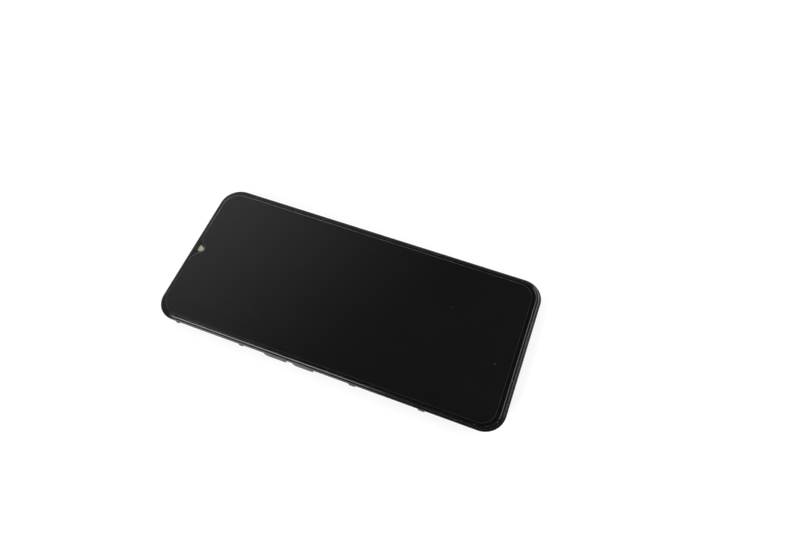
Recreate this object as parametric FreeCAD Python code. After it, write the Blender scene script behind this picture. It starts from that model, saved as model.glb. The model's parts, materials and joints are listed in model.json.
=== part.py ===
"""Phone LCD screen assembly: cover glass, display panel, backlight and mid frame.

Millimetres. +X is to the right seen from the glass side, +Y points to the camera end,
+Z leaves the glass. The origin is under the middle of the body, level with the tips of
the back walls. A depth is measured down from the face of the cover glass.
"""
import FreeCAD, Part
import math
import os

Vec = FreeCAD.Vector
Z_AXIS = Vec(0, 0, 1)
ORIGIN = Vec(0, 0, 0)
TOLERANCE = 1e-6

# Body in plan: the outermost line of the rail
body_width = 75.5
body_length = 165.6
corner_radius = 9.7
assembly_height = 6.6

# Cover glass and its seat in the rim
glass_inset_side = 1.9
glass_inset_top = 1.3
glass_inset_chin = 2.3
glass_thickness = 0.7
glass_edge_height = 0.35
glass_edge_width = 0.55
glass_edge_steps = 4
glass_proud = 0.45
glass_side_gap = 0.08
seat_tape_thickness = 0.15

# Black border printed on the inside of the glass, and the notch for the front camera
print_thickness = 0.03
print_margin = 0.1
border_side = 0.85
border_top = 0.5
border_chin = 1.95
window_radius = 6.9
window_radius_top = 8.0
camera_hole_radius = 1.7
camera_from_end = 4.1
notch_tip_margin = 0.3
notch_flank_deg = 50.0
notch_shoulder_radius = 6.8
notch_overrun = 1.0

# Display panel, from the glass down
adhesive_thickness = 0.15
polariser_thickness = 0.15
colour_filter_thickness = 0.3
tft_thickness = 0.3
lower_polariser_thickness = 0.12
panel_lap = 0.15
polariser_lap = 0.1
bond_ledge = 0.8
panel_gap = 0.15

# Backlight unit, from the panel down
rim_tape_thickness = 0.05
prism_film_thickness = 0.08
diffuser_thickness = 0.06
light_guide_thickness = 0.4
reflector_thickness = 0.07
tray_thickness = 0.1
tray_inset = 0.1
backlight_wall = 0.7
film_gap = 0.1
led_zone = 2.2
foam_inset = 0.3
foam_width_side = 4.0
foam_width_chin = 5.0
foam_width_top = 8.0
foam_radius = 3.0
foam_clearance = 0.5
led_count = 14
led_size_x = 3.0
led_size_y = 0.6
led_height = 0.4
led_end_margin = 5.6

# Flexible circuits
flex_thickness = 0.12
flex_bond_width = 30.0
flex_tail_width = 17.0
flex_tail_start = 7.0
flex_tail_length = 10.5
flex_bend_radius = 1.5
led_flex_thickness = 0.1
led_tail_width = 6.0
led_tail_offset = 21.0
led_tail_length = 4.0
led_flex_side_margin = 2.5
flex_slot_from_chin = 14.0
flex_slot_width = 4.4
flex_slot_length = 20.0
flex_slot_relief = 0.4
flex_run_over_slot = 2.8
flex_lift = 0.2
flex_bond_gap = 0.1
fold_clearance = 0.1
fold_recess_start = -17.0
fold_recess_end = 26.0

# Parts on the display flex
chip_width = 14.0
chip_depth = 1.3
chip_height = 0.3
chip_from_end = 5.6
connector_width = 11.0
connector_depth = 2.4
connector_height = 0.75
connector_wall = 0.45
connector_floor = 0.25
connector_end_margin = 0.6
connector_radius = 0.2
connector_tongue = 0.5
stiffener_margin = 0.5
stiffener_radius = 0.4
flex_foam_margin = 1.0
flex_foam_gap = 0.7
contact_count = 15
contact_pitch = 0.6
contact_width = 0.25
contact_height = 0.4
capacitor_count = 6
capacitor_pitch = 2.2
capacitor_size = 0.6
capacitor_height = 0.35
capacitor_from_end = 8.2

# Rail: the moulded rim round the glass
rail_groove_inset = 1.15
rail_groove_width = 0.3
rail_groove_depth = 0.17
rail_groove_slope = 0.1
rail_bulge_depth = 1.35
rail_tuck = 0.62
rail_bottom_depth = 3.05
rail_inner_reach = 5.0

# Mid plate and the moulded frame behind it
plate_thickness = 0.4
tray_gap = 0.2
plate_inset = 2.2
lcd_pocket_inset = 2.5
skirt_inset = 1.7
skirt_thickness = 1.2
skirt_short = 0.2
floor_thickness = 0.5
rivet_radius = 0.8
rivet_from_side = 10.55
rivet_inner_x = 11.3
rivet_from_end = 10.9
rivet_from_chin = 21.4

# Battery bay
bay_from_end = 37.8
bay_from_chin = 30.8
bay_from_side = 5.55
bay_wall_thickness = 1.0
bay_wall_short = 0.6
flex_gate_width = 22.0
flex_gate_height = 1.4
heat_film_thickness = 0.05
heat_film_margin = 2.0
heat_film_radius = 2.0

# Snap hooks for the back cover and key support tabs
hook_reach_inset = 0.63
hook_top_depth = 4.6
hook_flat_depth = 4.75
hook_tip_depth = 5.6
hook_slit = 0.6
hook_slit_depth = 4.0
end_side_hooks = ((11.2, 1.4), (44.0, 1.8))
chin_side_hooks = ((67.1, 2.8), (34.9, 3.0))
end_hook_x = 19.0
end_hook_width = 3.0
tab_inset = 0.35
tab_depth = 5.75
tab_chamfer = 1.6
tab_edge_chamfer = 0.35
tab_root_rise = 0.4
key_tab_widths = (10.4, 9.6)
key_tab_shares = (0.258454, 0.094203)

# Screw bosses with threaded inserts
boss_radius = 2.1
boss_from_side = 7.35
bosses_from_end = (7.8, 33.3)
bosses_from_chin = (26.3, 7.3)
insert_radius = 1.15
insert_bore_radius = 0.6
insert_length = 2.2
insert_sink = 0.05
boss_relief = 0.5
boss_rib_width = 0.8
boss_rib_short = 1.0

# Openings and pockets at the camera end and the chin
camera_opening_width = 7.4
camera_opening_length = 6.0
camera_opening_above = 2.1
opening_radius = 0.8
pocket_wall = 0.7
pocket_wall_height = 1.7
gasket_thickness = 0.45
gasket_width = 0.7
gasket_gap = 0.1
earpiece_width = 11.0
earpiece_slit = 0.42
earpiece_radius = 0.19
earpiece_mesh_thickness = 0.1
earpiece_mesh_depth = 0.8
receiver_width = 13.0
receiver_length = 6.5
receiver_x = 13.0
port_width = 10.0
port_depth = 3.9
speaker_width = 14.0
speaker_length = 11.0
speaker_x = -20.0
window_length = 15.0
window_width = 20.0
window_from_end = 20.8
window_x = 14.0
ground_pad_width = 4.0
ground_pad_length = 2.0
ground_pad_height = 0.85

# Depths that follow from the layers
print_depth = glass_thickness
adhesive_bottom = print_depth + print_thickness + adhesive_thickness
polariser_bottom = adhesive_bottom + polariser_thickness
colour_filter_bottom = polariser_bottom + colour_filter_thickness
tft_bottom = colour_filter_bottom + tft_thickness
panel_bottom = tft_bottom + lower_polariser_thickness
backlight_top = panel_bottom + rim_tape_thickness
upper_prism_bottom = backlight_top + prism_film_thickness
lower_prism_bottom = upper_prism_bottom + prism_film_thickness
diffuser_bottom = lower_prism_bottom + diffuser_thickness
light_guide_bottom = diffuser_bottom + light_guide_thickness
reflector_bottom = light_guide_bottom + reflector_thickness
tray_bottom = reflector_bottom + tray_thickness
plate_top = tray_bottom + tray_gap
plate_bottom = plate_top + plate_thickness
floor_bottom = plate_bottom + floor_thickness
seat_depth = glass_thickness + seat_tape_thickness
skirt_depth = assembly_height - skirt_short
bay_wall_depth = assembly_height - bay_wall_short

# Places in plan that follow from the body
half_width = body_width / 2
half_length = body_length / 2
glass_x = half_width - glass_inset_side
glass_top = half_length - glass_inset_top
glass_chin = -half_length + glass_inset_chin
glass_radius = corner_radius - glass_inset_side
window_x_half = glass_x - border_side
window_top = glass_top - border_top
window_chin = glass_chin + border_chin
camera_y = half_length - camera_from_end
tft_chin = window_chin - panel_lap - bond_ledge
bay_top_y = half_length - bay_from_end
bay_chin_y = -half_length + bay_from_chin
bay_wall_x = half_width - bay_from_side
boss_x = half_width - boss_from_side
rivet_outer_x = half_width - rivet_from_side
window_y = half_length - window_from_end
pocket_x = half_width - lcd_pocket_inset
pocket_top = window_top + panel_lap + panel_gap
pocket_chin = tft_chin - panel_gap
backlight_chin = window_chin - panel_lap
films_chin = window_chin + led_zone
slot_y = -half_length + flex_slot_from_chin
camera_opening_top = camera_y + camera_opening_above


def height(depth):
    """Height above the origin of a depth below the glass face."""
    return assembly_height - depth


def rounded_plan(half_x, y_low, y_high, radius, top_radius=None):
    """Flat face: a rectangle about the Y axis with rounded corners, alike at each end."""
    top = radius if top_radius is None else top_radius
    x_in = half_x - radius
    x_top = half_x - top
    low_in = y_low + radius
    high_in = y_high - top
    bow = radius * math.sqrt(0.5)
    bow_top = top * math.sqrt(0.5)
    lines = (((-x_in, y_low), (x_in, y_low)), ((half_x, low_in), (half_x, high_in)),
             ((x_top, y_high), (-x_top, y_high)), ((-half_x, high_in), (-half_x, low_in)))
    arcs = (((x_in, y_low), (x_in + bow, low_in - bow), (half_x, low_in)),
            ((half_x, high_in), (x_top + bow_top, high_in + bow_top), (x_top, y_high)),
            ((-x_top, y_high), (-x_top - bow_top, high_in + bow_top), (-half_x, high_in)),
            ((-half_x, low_in), (-x_in - bow, low_in - bow), (-x_in, y_low)))
    edges = []
    for line, arc in zip(lines, arcs):
        edges.append(Part.LineSegment(*[Vec(x, y, 0) for x, y in line]).toShape())
        edges.append(Part.Arc(*[Vec(x, y, 0) for x, y in arc]).toShape())
    return Part.Face(Part.Wire(edges))


def window_plan(x_half, y_low, y_high, grow):
    """Flat face with the window's corners, grown or drawn in."""
    return rounded_plan(x_half, y_low, y_high, window_radius + grow, window_radius_top + grow)


def rectangle_plan(centre_x, centre_y, size_x, size_y, radius=0.0):
    """Flat face: a rectangle about a centre, with rounded corners if a radius is given."""
    if radius > 0:
        face = rounded_plan(size_x / 2, -size_y / 2, size_y / 2, radius)
    else:
        face = Part.makePlane(size_x, size_y, Vec(-size_x / 2, -size_y / 2, 0), Z_AXIS)
    face.translate(Vec(centre_x, centre_y, 0))
    return face


def disc_plan(centre_x, centre_y, radius):
    """Flat face: a disc about a centre."""
    return Part.Face(Part.Wire(Part.makeCircle(radius, Vec(centre_x, centre_y, 0), Z_AXIS)))


def layer(plan, top_depth, bottom_depth):
    """Solid of a plan between two depths."""
    face = plan.removeSplitter()
    face.translate(Vec(0, 0, height(bottom_depth)))
    return face.extrude(Vec(0, 0, bottom_depth - top_depth))


def box_layer(centre_x, centre_y, size_x, size_y, top_depth, bottom_depth, radius=0.0):
    """Solid of a rectangle between two depths."""
    return layer(rectangle_plan(centre_x, centre_y, size_x, size_y, radius), top_depth, bottom_depth)


def inset_plan(inset):
    """Plan of the body's outline drawn in by an inset."""
    return rounded_plan(half_width - inset, inset - half_length, half_length - inset, corner_radius - inset)


def glass_plan(inset):
    """Plan of the cover glass drawn in by an inset."""
    return rounded_plan(glass_x - inset, glass_chin + inset, glass_top - inset, glass_radius - inset)


def notch_plan(grow):
    """Plan of the drop-shaped notch, its border moved out by grow."""
    tip_radius = camera_hole_radius + notch_tip_margin + grow
    shoulder = notch_shoulder_radius - grow
    top = window_top - grow
    flank = math.radians(notch_flank_deg)
    touch = Vec(tip_radius * math.sin(flank), camera_y - tip_radius * math.cos(flank), 0)
    along = Vec(math.cos(flank), math.sin(flank), 0)
    corner = touch + along * ((top - touch.y) / math.sin(flank))
    tangent = shoulder * math.tan(flank / 2)
    flank_end = corner - along * tangent
    shoulder_end = corner + Vec(tangent, 0, 0)
    turn = math.pi / 2 + flank / 2
    centre = shoulder_end - Vec(0, shoulder, 0)
    shoulder_mid = centre + Vec(shoulder * math.cos(turn), shoulder * math.sin(turn), 0)
    over = Vec(shoulder_end.x, top + notch_overrun, 0)

    def left(point):
        return Vec(-point.x, point.y, 0)

    edges = [Part.Arc(left(touch), Vec(0, camera_y - tip_radius, 0), touch).toShape(),
             Part.LineSegment(touch, flank_end).toShape(),
             Part.Arc(flank_end, shoulder_mid, shoulder_end).toShape(),
             Part.LineSegment(shoulder_end, over).toShape(),
             Part.LineSegment(over, left(over)).toShape(),
             Part.LineSegment(left(over), left(shoulder_end)).toShape(),
             Part.Arc(left(shoulder_end), left(shoulder_mid), left(flank_end)).toShape(),
             Part.LineSegment(left(flank_end), left(touch)).toShape()]
    return Part.Face(Part.Wire(edges))


def panel_plan(lap, y_low):
    """Plan of a display layer that reaches past the window by a lap and ends at y_low."""
    face = window_plan(window_x_half + lap, y_low, window_top + lap, lap)
    return face.cut(notch_plan(-lap))


def rounded_path(nodes, radii):
    """Edges of an open path of straight runs, with an arc of its own radius at each corner."""
    edges = []
    start = nodes[0]
    for before, corner, after, radius in zip(nodes, nodes[1:], nodes[2:], radii):
        back = (before - corner).normalize()
        ahead = (after - corner).normalize()
        half_angle = back.getAngle(ahead) / 2
        tangent = radius / math.tan(half_angle)
        middle = (back + ahead).normalize()
        to_arc = radius / math.sin(half_angle) - radius
        first = corner + back * tangent
        last = corner + ahead * tangent
        if start.distanceToPoint(first) > TOLERANCE:
            edges.append(Part.LineSegment(start, first).toShape())
        edges.append(Part.Arc(first, corner + middle * to_arc, last).toShape())
        start = last
    edges.append(Part.LineSegment(start, nodes[-1]).toShape())
    return edges


def bent_band(points, radii, thickness):
    """Flat face across a folded sheet, from its inner side's path in Y and depth.

    The sheet lies on the right of the path, so a turn to the left is wider on the outside.
    """
    nodes = [Vec(0, y, height(depth)) for y, depth in points]
    runs = [(b - a).normalize() for a, b in zip(nodes, nodes[1:])]
    normals = [Vec(0, run.z, -run.y) for run in runs]
    outer = [nodes[0] + normals[0] * thickness]
    outer_radii = []
    corners = zip(nodes[1:], runs, runs[1:], normals, normals[1:], radii)
    for corner, run, following, first, second, radius in corners:
        outer.append(corner + (first + second) * (thickness / (1 + first.dot(second))))
        turns_left = run.y * following.z - run.z * following.y > 0
        outer_radii.append(radius + thickness if turns_left else radius - thickness)
    outer.append(nodes[-1] + normals[-1] * thickness)
    edges = rounded_path(nodes, radii) + rounded_path(outer, outer_radii)
    edges.append(Part.LineSegment(nodes[0], outer[0]).toShape())
    edges.append(Part.LineSegment(nodes[-1], outer[-1]).toShape())
    return Part.Face(Part.Wire(Part.__sortEdges__(edges)))


def bent_sheet(points, radii, thickness, plan):
    """Solid of a folded sheet, trimmed to a plan."""
    band = bent_band(points, radii, thickness)
    band.translate(Vec(-half_width, 0, 0))
    sheet = band.extrude(Vec(body_width, 0, 0))
    return sheet.common(layer(plan, 0, assembly_height))


def one_solid(shape):
    """The single solid of a boolean result, with its split faces joined."""
    merged = shape.removeSplitter()
    solids = merged.Solids
    if len(solids) != 1:
        raise ValueError("expected one solid, got %d" % len(solids))
    return solids[0]


def tangent_arc(inset, depth):
    """Arc from the outermost line to a point (inset, depth), upright where it starts."""
    rise = depth - rail_bulge_depth
    radius = (inset ** 2 + rise ** 2) / (2 * inset)
    sweep = math.atan2(abs(rise), radius - inset)
    side = 1 if rise > 0 else -1
    middle = (radius * (1 - math.cos(sweep / 2)), rail_bulge_depth + side * radius * math.sin(sweep / 2))
    return middle


def rim_section():
    """Section of the rim, as a face in X and Z with X measured from a corner's axis."""
    def at(inset, depth):
        return Vec(corner_radius - inset, 0, height(depth))

    bead_edge = rail_groove_inset
    groove_in = bead_edge - rail_groove_slope
    groove_out = bead_edge - rail_groove_width
    groove_floor = glass_proud + rail_groove_depth
    corners = [at(rail_inner_reach, glass_proud), at(bead_edge, glass_proud), at(groove_in, groove_floor),
               at(groove_out, groove_floor)]
    bulge = at(0, rail_bulge_depth)
    upper_mid = at(*tangent_arc(groove_out, groove_floor))
    lower_mid = at(*tangent_arc(rail_tuck, rail_bottom_depth))
    skirt_inner = skirt_inset + skirt_thickness
    rest = [at(rail_tuck, rail_bottom_depth), at(skirt_inset, rail_bottom_depth),
            at(skirt_inset, skirt_depth), at(skirt_inner, skirt_depth), at(skirt_inner, plate_bottom),
            at(rail_inner_reach, plate_bottom), at(rail_inner_reach, glass_proud)]
    edges = [Part.LineSegment(a, b).toShape() for a, b in zip(corners, corners[1:])]
    edges.append(Part.Arc(corners[-1], upper_mid, bulge).toShape())
    edges.append(Part.Arc(bulge, lower_mid, rest[0]).toShape())
    edges.extend(Part.LineSegment(a, b).toShape() for a, b in zip(rest, rest[1:]))
    return Part.Face(Part.Wire(edges))


def rim_ring():
    """The rim's section carried round the body: four straight sides and four turned corners."""
    x = half_width - corner_radius
    y = half_length - corner_radius
    axes = (Vec(x, y, 0), Vec(-x, y, 0), Vec(-x, -y, 0), Vec(x, -y, 0))
    section = rim_section()
    pieces = []
    for index, axis in enumerate(axes):
        turned = section.copy()
        turned.rotate(ORIGIN, Z_AXIS, 90 * index)
        turned.translate(axis)
        pieces.append(turned.revolve(axis, Z_AXIS, 90))
        side = section.copy()
        side.rotate(ORIGIN, Z_AXIS, 90 * (index + 1))
        side.translate(axis)
        pieces.append(side.extrude(axes[(index + 1) % 4] - axis))
    return pieces[0].multiFuse(pieces[1:]).removeSplitter()


def cover_glass():
    """Cover glass with a rounded front edge, as stacked lofts of its outline."""
    def outline(inset, depth):
        wire = glass_plan(inset).OuterWire
        wire.translate(Vec(0, 0, height(depth)))
        return wire

    body = layer(glass_plan(0), glass_edge_height, glass_thickness)
    levels = []
    for step in range(glass_edge_steps + 1):
        turn = math.pi / 2 * step / glass_edge_steps
        inset = glass_edge_width * (1 - math.cos(turn))
        levels.append((inset, glass_edge_height * (1 - math.sin(turn))))
    for lower, upper in zip(levels, levels[1:]):
        body = body.fuse(Part.makeLoft([outline(*lower), outline(*upper)], True, True))
    return one_solid(body)


def border_print():
    """Black border on the inside of the glass, open at the window and the camera."""
    window = window_plan(window_x_half, window_chin, window_top, 0).cut(notch_plan(0))
    plan = glass_plan(print_margin).cut(window).cut(disc_plan(0, camera_y, camera_hole_radius))
    return one_solid(layer(plan, print_depth, print_depth + print_thickness))


def seat_tape():
    """Adhesive ring between the glass and its seat in the rim."""
    hole = window_plan(pocket_x, pocket_chin, pocket_top, panel_lap + panel_gap)
    plan = glass_plan(print_margin).cut(hole)
    tape = layer(plan, print_depth + print_thickness, seat_depth)
    return one_solid(tape.cut(fold_recess()).cut(earpiece_channel()))


def optical_adhesive(printed):
    """Clear adhesive that fills the space between the glass and the panel."""
    plan = panel_plan(polariser_lap, window_chin - polariser_lap)
    return one_solid(layer(plan, print_depth, adhesive_bottom).cut(printed))


def backlight_plan(inset):
    """Plan of a backlight layer drawn in from the backlight's outer edge."""
    lap = panel_lap - tray_inset - inset
    return panel_plan(lap, backlight_chin + tray_inset + inset)


def film_plan(y_low):
    """Plan of a film inside the backlight's frame, ending at y_low."""
    return panel_plan(panel_lap - tray_inset - tray_thickness - backlight_wall - film_gap, y_low)


def film(top_depth, bottom_depth):
    """One sheet of the backlight's film stack."""
    return one_solid(layer(film_plan(films_chin + film_gap), top_depth, bottom_depth))


def led_flex():
    """Strip over the lamps, with a tail folded round to the back of the tray."""
    inner_top = backlight_top + led_flex_thickness
    out = backlight_chin + tray_inset - (tray_bottom - inner_top) / 2
    fold = (tray_bottom - inner_top) / 2
    tail_end = backlight_chin + led_tail_length
    strip_y = backlight_chin + tray_inset + tray_thickness + backlight_wall
    strip_width = 2 * (window_x_half - led_flex_side_margin)
    strip = rectangle_plan(0, (strip_y + films_chin) / 2, strip_width, films_chin - strip_y)
    y_low = out - led_flex_thickness - fold_clearance
    tail = rectangle_plan(led_tail_offset, (y_low + tail_end) / 2, led_tail_width, tail_end - y_low)
    link = rectangle_plan(led_tail_offset, (y_low + strip_y) / 2, led_tail_width, strip_y - y_low)
    points = [(films_chin, inner_top), (out, inner_top), (out, tray_bottom), (tail_end, tray_bottom)]
    sheet = bent_sheet(points, [fold, fold], led_flex_thickness, strip.fuse(tail))
    above = layer(strip.fuse(link), backlight_top, inner_top + led_height / 2)
    below = layer(tail, inner_top, tray_bottom + led_flex_thickness)
    return one_solid(sheet.common(above.fuse(below)))


def leds():
    """Row of lamps under the strip, facing the light guide's edge."""
    span = 2 * (window_x_half - led_end_margin)
    pitch = span / (led_count - 1)
    centre_y = films_chin - film_gap - led_size_y / 2
    top = backlight_top + led_flex_thickness
    bodies = []
    for index in range(led_count):
        x = -span / 2 + pitch * index
        body = box_layer(x, centre_y, led_size_x, led_size_y, top, top + led_height)
        bodies.append(body)
    return Part.makeCompound(bodies)


def backlight_frame(flex):
    """White moulded frame that holds the films and the light guide."""
    outer = backlight_plan(tray_thickness)
    inner_low = backlight_chin + tray_inset + tray_thickness + backlight_wall
    inner = panel_plan(panel_lap - tray_inset - tray_thickness - backlight_wall, inner_low)
    return one_solid(layer(outer.cut(inner), backlight_top, reflector_bottom).cut(flex))


def backlight_tray():
    """Pressed steel tray: a thin floor with an upturned wall."""
    body = layer(backlight_plan(0), backlight_top + led_flex_thickness, tray_bottom)
    hollow = layer(backlight_plan(tray_thickness), backlight_top, reflector_bottom)
    return one_solid(body.cut(hollow))


def rim_tape():
    """Black tape ring that holds the panel to the backlight."""
    inner_lap = panel_lap - tray_inset - tray_thickness - backlight_wall - film_gap
    inner = panel_plan(inner_lap - film_gap, films_chin + backlight_wall)
    plan = panel_plan(-tray_inset, backlight_chin + 2 * tray_inset).cut(inner)
    return one_solid(layer(plan, panel_bottom, backlight_top))


def flex_path():
    """Inner side of the display flex in Y and depth, and the radius at each corner."""
    fold = (tray_bottom - colour_filter_bottom) / 2
    out = tft_chin - fold
    rest = floor_bottom + flex_lift
    end = slot_y + flex_slot_width / 2 + flex_tail_length
    points = [(window_chin - panel_lap - flex_bond_gap, colour_filter_bottom), (out, colour_filter_bottom),
              (out, tray_bottom), (slot_y - flex_run_over_slot / 2, tray_bottom),
              (slot_y + flex_run_over_slot / 2, rest), (end, rest)]
    return points, [fold, fold, flex_bend_radius, flex_bend_radius], end


def display_flex():
    """Display flex: bonded to the panel, folded behind it and led out through the slot."""
    points, radii, end = flex_path()
    y_low = points[1][0] - flex_thickness - fold_clearance
    tail_start = y_low + flex_tail_start
    bond = rectangle_plan(0, (y_low + tail_start) / 2, flex_bond_width, tail_start - y_low)
    tail = rectangle_plan(0, (tail_start + end) / 2, flex_tail_width, end - tail_start)
    return one_solid(bent_sheet(points, radii, flex_thickness, bond.fuse(tail)))


def fold_recess():
    """Space in the rim's seat for the folds of both flexes."""
    fold = (tray_bottom - colour_filter_bottom) / 2
    y_low = tft_chin - fold - flex_thickness - fold_clearance
    width = fold_recess_end - fold_recess_start
    centre_x = (fold_recess_end + fold_recess_start) / 2
    length = pocket_chin + panel_gap - y_low
    return box_layer(centre_x, y_low + length / 2, width, length, print_depth + print_thickness, plate_top)


def flex_surface():
    """Depth of the face of the display flex that points away from the plate."""
    return floor_bottom + flex_lift + flex_thickness


def driver_chip():
    """Bare driver chip on the tail of the display flex."""
    end = flex_path()[2]
    top = flex_surface()
    return box_layer(0, end - chip_from_end, chip_width, chip_depth, top, top + chip_height)


def flex_capacitors():
    """Row of ceramic capacitors on the display flex."""
    end = flex_path()[2]
    top = flex_surface()
    first = -capacitor_pitch * (capacitor_count - 1) / 2
    bodies = []
    for index in range(capacitor_count):
        x = first + capacitor_pitch * index
        bodies.append(box_layer(x, end - capacitor_from_end, 2 * capacitor_size, capacitor_size, top,
                                top + capacitor_height))
    return Part.makeCompound(bodies)


def connector_y():
    """Middle of the connector along the flex."""
    return flex_path()[2] - connector_end_margin - connector_depth / 2


def connector():
    """Board connector: a low tray with a raised wall and a centre tongue."""
    y = connector_y()
    top = flex_surface()
    body = box_layer(0, y, connector_width, connector_depth, top, top + connector_height, connector_radius)
    inner_x = connector_width - 2 * connector_wall
    inner_y = connector_depth - 2 * connector_wall
    well = box_layer(0, y, inner_x, inner_y, top + connector_floor, top + connector_height)
    tongue_top = top + connector_height - connector_floor
    tongue = box_layer(0, y, inner_x - 2 * connector_wall, connector_tongue, top, tongue_top)
    body = body.cut(well).fuse(tongue)
    return one_solid(body.cut(contacts()))


def contacts():
    """Two rows of contacts standing in the connector's well."""
    y = connector_y()
    top = flex_surface() + connector_floor
    offset = connector_depth / 2 - connector_wall - contact_width / 2
    first = -contact_pitch * (contact_count - 1) / 2
    pins = []
    for side in (-1, 1):
        for index in range(contact_count):
            x = first + contact_pitch * index
            pins.append(box_layer(x, y + side * offset, contact_width, contact_width, top,
                                  top + contact_height))
    return Part.makeCompound(pins)


def stiffener():
    """Steel plate behind the connector, between the flex and the frame's floor."""
    size_x = connector_width + 2 * stiffener_margin
    size_y = connector_depth + 2 * stiffener_margin
    bottom = floor_bottom + flex_lift
    return box_layer(0, connector_y(), size_x, size_y, floor_bottom, bottom, stiffener_radius)


def flex_foam():
    """Adhesive foam under the flex's tail."""
    end = flex_path()[2]
    low = slot_y + flex_slot_width / 2 + flex_foam_margin
    high = end - connector_end_margin - connector_depth - stiffener_margin - flex_foam_gap
    width = flex_tail_width - 2 * flex_foam_margin
    return box_layer(0, (low + high) / 2, width, high - low, floor_bottom, floor_bottom + flex_lift)


def tray_foam():
    """Adhesive foam ring between the backlight's tray and the mid plate, clear of both flexes."""
    hole = rounded_plan(window_x_half - foam_width_side, window_chin + foam_width_chin,
                        window_top - foam_width_top, foam_radius)
    ring = layer(backlight_plan(foam_inset).cut(hole), tray_bottom, plate_top)
    gap_width = flex_bond_width + 2 * foam_clearance
    flex_gap = box_layer(0, slot_y - gap_width / 2, gap_width, gap_width, tray_bottom, plate_top)
    tail_gap = box_layer(led_tail_offset, backlight_chin, led_tail_width + 2 * foam_clearance,
                         2 * (led_tail_length + foam_clearance), tray_bottom, plate_top)
    cutters = [flex_slot(tray_bottom, plate_top, foam_clearance), flex_gap, tail_gap,
               camera_opening(tray_bottom, plate_top, foam_clearance)]
    return one_solid(ring.cut(cutters))


def camera_opening(top_depth, bottom_depth, grow=0.0):
    """Rounded opening behind the camera window."""
    centre_y = camera_opening_top - camera_opening_length / 2
    return box_layer(0, centre_y, camera_opening_width + 2 * grow, camera_opening_length + 2 * grow,
                     top_depth, bottom_depth, opening_radius + grow)


def flex_slot(top_depth, bottom_depth, grow=0.0):
    """Slot that the display flex passes through."""
    return box_layer(0, slot_y, flex_slot_length + 2 * grow, flex_slot_width + 2 * grow,
                     top_depth, bottom_depth, opening_radius)


def rivet_places():
    """Places of the moulded studs that lock the frame to the plate."""
    columns = (-rivet_outer_x, -rivet_inner_x, rivet_inner_x, rivet_outer_x)
    rows = (half_length - rivet_from_end, -half_length + rivet_from_chin)
    return [(x, y) for y in rows for x in columns]


def mid_plate():
    """Pressed metal plate behind the backlight."""
    plate = layer(inset_plan(plate_inset), plate_top, plate_bottom)
    holes = [camera_opening(plate_top, plate_bottom), flex_slot(plate_top, plate_bottom)]
    for x, y in rivet_places():
        holes.append(layer(disc_plan(x, y, rivet_radius), plate_top, plate_bottom))
    return one_solid(plate.cut(holes))


def earpiece_channel():
    """Slit at the glass's upper edge and the duct below it."""
    y = glass_top + glass_side_gap + earpiece_slit / 2
    return box_layer(0, y, earpiece_width, earpiece_slit, 0, plate_top, earpiece_radius)


def earpiece_mesh():
    """Fine mesh strip in the earpiece slit."""
    y = glass_top + glass_side_gap + earpiece_slit / 2
    return box_layer(0, y, earpiece_width, earpiece_slit, earpiece_mesh_depth,
                     earpiece_mesh_depth + earpiece_mesh_thickness, earpiece_radius)


def place_on_side(shape, angle, x, y):
    """Turn a feature drawn for the right side to another side and move it there."""
    turned = shape.copy()
    turned.rotate(ORIGIN, Z_AXIS, angle)
    turned.translate(Vec(x, y, 0))
    return turned


def side_prism(points, length):
    """Solid of a polygon in (inset, depth), drawn for the right side and centred on Y."""
    nodes = [Vec(-inset, -length / 2, height(depth)) for inset, depth in points]
    wire = Part.makePolygon(nodes + nodes[:1])
    return Part.Face(wire).extrude(Vec(0, length, 0))


def hook(width):
    """Snap hook: flat above, sloping below."""
    root = skirt_inset + skirt_thickness / 2
    points = [(root, hook_top_depth), (skirt_inset, hook_top_depth), (hook_reach_inset, hook_flat_depth),
              (hook_reach_inset, hook_tip_depth), (skirt_inset, skirt_depth), (root, skirt_depth)]
    return side_prism(points, width)


def hook_slits(width):
    """Two slits that free the hook's tongue from the skirt."""
    cutters = []
    for side in (-1, 1):
        cutter = side_prism([(skirt_inset, hook_slit_depth), (skirt_inset, assembly_height),
                             (skirt_inset + skirt_thickness, assembly_height),
                             (skirt_inset + skirt_thickness, hook_slit_depth)], hook_slit)
        cutter.translate(Vec(0, side * (width / 2 + hook_slit), 0))
        cutters.append(cutter)
    return cutters


def hook_places():
    """Each hook's width, turn and place."""
    places = []
    rows = [(half_length - from_end, width) for from_end, width in end_side_hooks]
    rows += [(-half_length + from_chin, width) for from_chin, width in chin_side_hooks]
    for y, width in rows:
        places.append((width, 0, half_width, y))
        places.append((width, 180, -half_width, y))
    for x in (-end_hook_x, end_hook_x):
        places.append((end_hook_width, 90, x, half_length))
        places.append((end_hook_width, 270, x, -half_length))
    return places


def key_tab(low, high):
    """Wide tab that hangs from the rail on the left side, its lower corners cut off."""
    top = (rail_bulge_depth + rail_bottom_depth) / 2
    root = skirt_inset + skirt_thickness / 2
    points = [(root, top), (tab_inset, rail_bottom_depth - tab_root_rise),
              (tab_inset, tab_depth - tab_edge_chamfer), (tab_inset + tab_edge_chamfer, tab_depth),
              (root, tab_depth)]
    tab = place_on_side(side_prism(points, high - low), 180, -half_width, (low + high) / 2)
    x = -half_width
    z = height(tab_depth)
    corner = Part.makePolygon([Vec(x, high - tab_chamfer, z), Vec(x, high, z), Vec(x, high, z + tab_chamfer),
                               Vec(x, high - tab_chamfer, z)])
    return tab.cut(Part.Face(corner).extrude(Vec(skirt_inset + skirt_thickness, 0, 0)))


def wall(x_low, x_high, y_low, y_high, bottom_depth):
    """Straight wall or block on the back of the plate."""
    return box_layer((x_low + x_high) / 2, (y_low + y_high) / 2, x_high - x_low, y_high - y_low,
                     plate_bottom, bottom_depth)


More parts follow.
